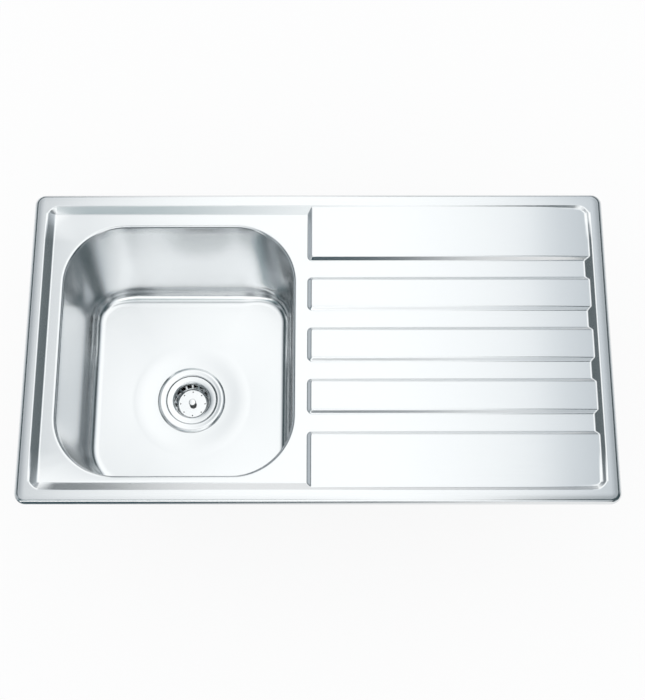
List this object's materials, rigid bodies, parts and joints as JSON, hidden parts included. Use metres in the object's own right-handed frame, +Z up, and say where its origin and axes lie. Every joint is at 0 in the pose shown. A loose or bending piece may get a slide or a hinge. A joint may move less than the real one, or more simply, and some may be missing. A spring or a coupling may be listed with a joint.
{
  "type": "kitchen sink with drainboard",
  "caption": "Inset stainless steel kitchen sink with a deep rounded bowl, a ridged drainboard beside it, a basket strainer waste and fixing clamps under the rim.",
  "frame": {"origin": "middle of the worktop cut-out, on the worktop's upper surface", "axes": "+X along the sink from the bowl to the drainboard, +Y towards the wall behind it, +Z up"},
  "size_m": [0.9, 0.5, 0.2682],
  "materials": {
    "stainless_brushed": "satin, finely brushed along the sink's length",
    "stainless_polished": "bright polished",
    "zinc_steel": "zinc plated, dull",
    "black_rubber": "matte",
    "grey_foam": "matte closed-cell foam",
    "black_nylon": "moulded, smooth",
    "white_nylon": "moulded, matte",
    "bitumen": "matte sheet"
  },
  "bodies": {
    "root": {"sink_top": "stainless_brushed", "bowl": "stainless_brushed", "bowl_pad": "bitumen", "drainboard_pad": "bitumen", "seal_strip": "grey_foam", "rail_back": "zinc_steel", "rail_front": "zinc_steel", "rail_left": "zinc_steel", "rail_right": "zinc_steel", "waste_body": "stainless_polished", "flange_gasket": "grey_foam", "rubber_washer": "black_rubber", "slip_ring": "white_nylon", "lock_nut": "zinc_steel", "clamp_1_bolt": "zinc_steel", "clamp_2_bolt": "zinc_steel", "clamp_3_bolt": "zinc_steel", "clamp_4_bolt": "zinc_steel", "clamp_5_bolt": "zinc_steel", "clamp_6_bolt": "zinc_steel"},
    "basket": {"basket_cup": "stainless_polished", "basket_stopper": "black_rubber", "basket_post": "stainless_polished", "basket_knob": "black_nylon"},
    "clamp_1_washer": {"clamp_1_washer": "zinc_steel"},
    "clamp_1_claw": {"clamp_1_claw": "zinc_steel"},
    "clamp_1_nut": {"clamp_1_wing_nut": "zinc_steel"},
    "clamp_2_washer": {"clamp_2_washer": "zinc_steel"},
    "clamp_2_claw": {"clamp_2_claw": "zinc_steel"},
    "clamp_2_nut": {"clamp_2_wing_nut": "zinc_steel"},
    "clamp_3_washer": {"clamp_3_washer": "zinc_steel"},
    "clamp_3_claw": {"clamp_3_claw": "zinc_steel"},
    "clamp_3_nut": {"clamp_3_wing_nut": "zinc_steel"},
    "clamp_4_washer": {"clamp_4_washer": "zinc_steel"},
    "clamp_4_claw": {"clamp_4_claw": "zinc_steel"},
    "clamp_4_nut": {"clamp_4_wing_nut": "zinc_steel"},
    "clamp_5_washer": {"clamp_5_washer": "zinc_steel"},
    "clamp_5_claw": {"clamp_5_claw": "zinc_steel"},
    "clamp_5_nut": {"clamp_5_wing_nut": "zinc_steel"},
    "clamp_6_washer": {"clamp_6_washer": "zinc_steel"},
    "clamp_6_claw": {"clamp_6_claw": "zinc_steel"},
    "clamp_6_nut": {"clamp_6_wing_nut": "zinc_steel"}
  },
  "joints": [
    {"name": "basket_lift", "type": "slide", "parent": "root", "child": "basket", "axis": [0, 0, 1], "range_m": [0, 0.26]},
    {"name": "clamp_1_lift", "type": "slide", "parent": "root", "child": "clamp_1_washer", "axis": [0, 0, 1], "range_m": [0, 0.016]},
    {"name": "clamp_1_turn", "type": "hinge", "parent": "clamp_1_washer", "child": "clamp_1_nut", "pos_m": [-0.26, 0.233, -0.045], "axis": [0, 0, 1], "range_deg": [0, 7200]},
    {"name": "clamp_1_swing", "type": "hinge", "parent": "clamp_1_washer", "child": "clamp_1_claw", "pos_m": [-0.26, 0.233, -0.0415], "axis": [0, 0, 1], "range_deg": [0, 90]},
    {"name": "clamp_2_lift", "type": "slide", "parent": "root", "child": "clamp_2_washer", "axis": [0, 0, 1], "range_m": [0, 0.016]},
    {"name": "clamp_2_turn", "type": "hinge", "parent": "clamp_2_washer", "child": "clamp_2_nut", "pos_m": [0.26, 0.233, -0.045], "axis": [0, 0, 1], "range_deg": [0, 7200]},
    {"name": "clamp_2_swing", "type": "hinge", "parent": "clamp_2_washer", "child": "clamp_2_claw", "pos_m": [0.26, 0.233, -0.0415], "axis": [0, 0, 1], "range_deg": [0, 90]},
    {"name": "clamp_3_lift", "type": "slide", "parent": "root", "child": "clamp_3_washer", "axis": [0, 0, 1], "range_m": [0, 0.016]},
    {"name": "clamp_3_turn", "type": "hinge", "parent": "clamp_3_washer", "child": "clamp_3_nut", "pos_m": [0.26, -0.233, -0.045], "axis": [0, 0, 1], "range_deg": [0, 7200]},
    {"name": "clamp_3_swing", "type": "hinge", "parent": "clamp_3_washer", "child": "clamp_3_claw", "pos_m": [0.26, -0.233, -0.0415], "axis": [0, 0, 1], "range_deg": [0, 90]},
    {"name": "clamp_4_lift", "type": "slide", "parent": "root", "child": "clamp_4_washer", "axis": [0, 0, 1], "range_m": [0, 0.016]},
    {"name": "clamp_4_turn", "type": "hinge", "parent": "clamp_4_washer", "child": "clamp_4_nut", "pos_m": [-0.26, -0.233, -0.045], "axis": [0, 0, 1], "range_deg": [0, 7200]},
    {"name": "clamp_4_swing", "type": "hinge", "parent": "clamp_4_washer", "child": "clamp_4_claw", "pos_m": [-0.26, -0.233, -0.0415], "axis": [0, 0, 1], "range_deg": [0, 90]},
    {"name": "clamp_5_lift", "type": "slide", "parent": "root", "child": "clamp_5_washer", "axis": [0, 0, 1], "range_m": [0, 0.016]},
    {"name": "clamp_5_turn", "type": "hinge", "parent": "clamp_5_washer", "child": "clamp_5_nut", "pos_m": [-0.433, 0, -0.045], "axis": [0, 0, 1], "range_deg": [0, 7200]},
    {"name": "clamp_5_swing", "type": "hinge", "parent": "clamp_5_washer", "child": "clamp_5_claw", "pos_m": [-0.433, 0, -0.0415], "axis": [0, 0, 1], "range_deg": [0, 90]},
    {"name": "clamp_6_lift", "type": "slide", "parent": "root", "child": "clamp_6_washer", "axis": [0, 0, 1], "range_m": [0, 0.016]},
    {"name": "clamp_6_turn", "type": "hinge", "parent": "clamp_6_washer", "child": "clamp_6_nut", "pos_m": [0.433, 0, -0.045], "axis": [0, 0, 1], "range_deg": [0, 7200]},
    {"name": "clamp_6_swing", "type": "hinge", "parent": "clamp_6_washer", "child": "clamp_6_claw", "pos_m": [0.433, 0, -0.0415], "axis": [0, 0, 1], "range_deg": [0, 90]}
  ],
  "couplings": [
    {"joint": "clamp_1_lift", "follows": "clamp_1_turn", "m_per_rad": 0.00012732},
    {"joint": "clamp_2_lift", "follows": "clamp_2_turn", "m_per_rad": 0.00012732},
    {"joint": "clamp_3_lift", "follows": "clamp_3_turn", "m_per_rad": 0.00012732},
    {"joint": "clamp_4_lift", "follows": "clamp_4_turn", "m_per_rad": 0.00012732},
    {"joint": "clamp_5_lift", "follows": "clamp_5_turn", "m_per_rad": 0.00012732},
    {"joint": "clamp_6_lift", "follows": "clamp_6_turn", "m_per_rad": 0.00012732}
  ]
}
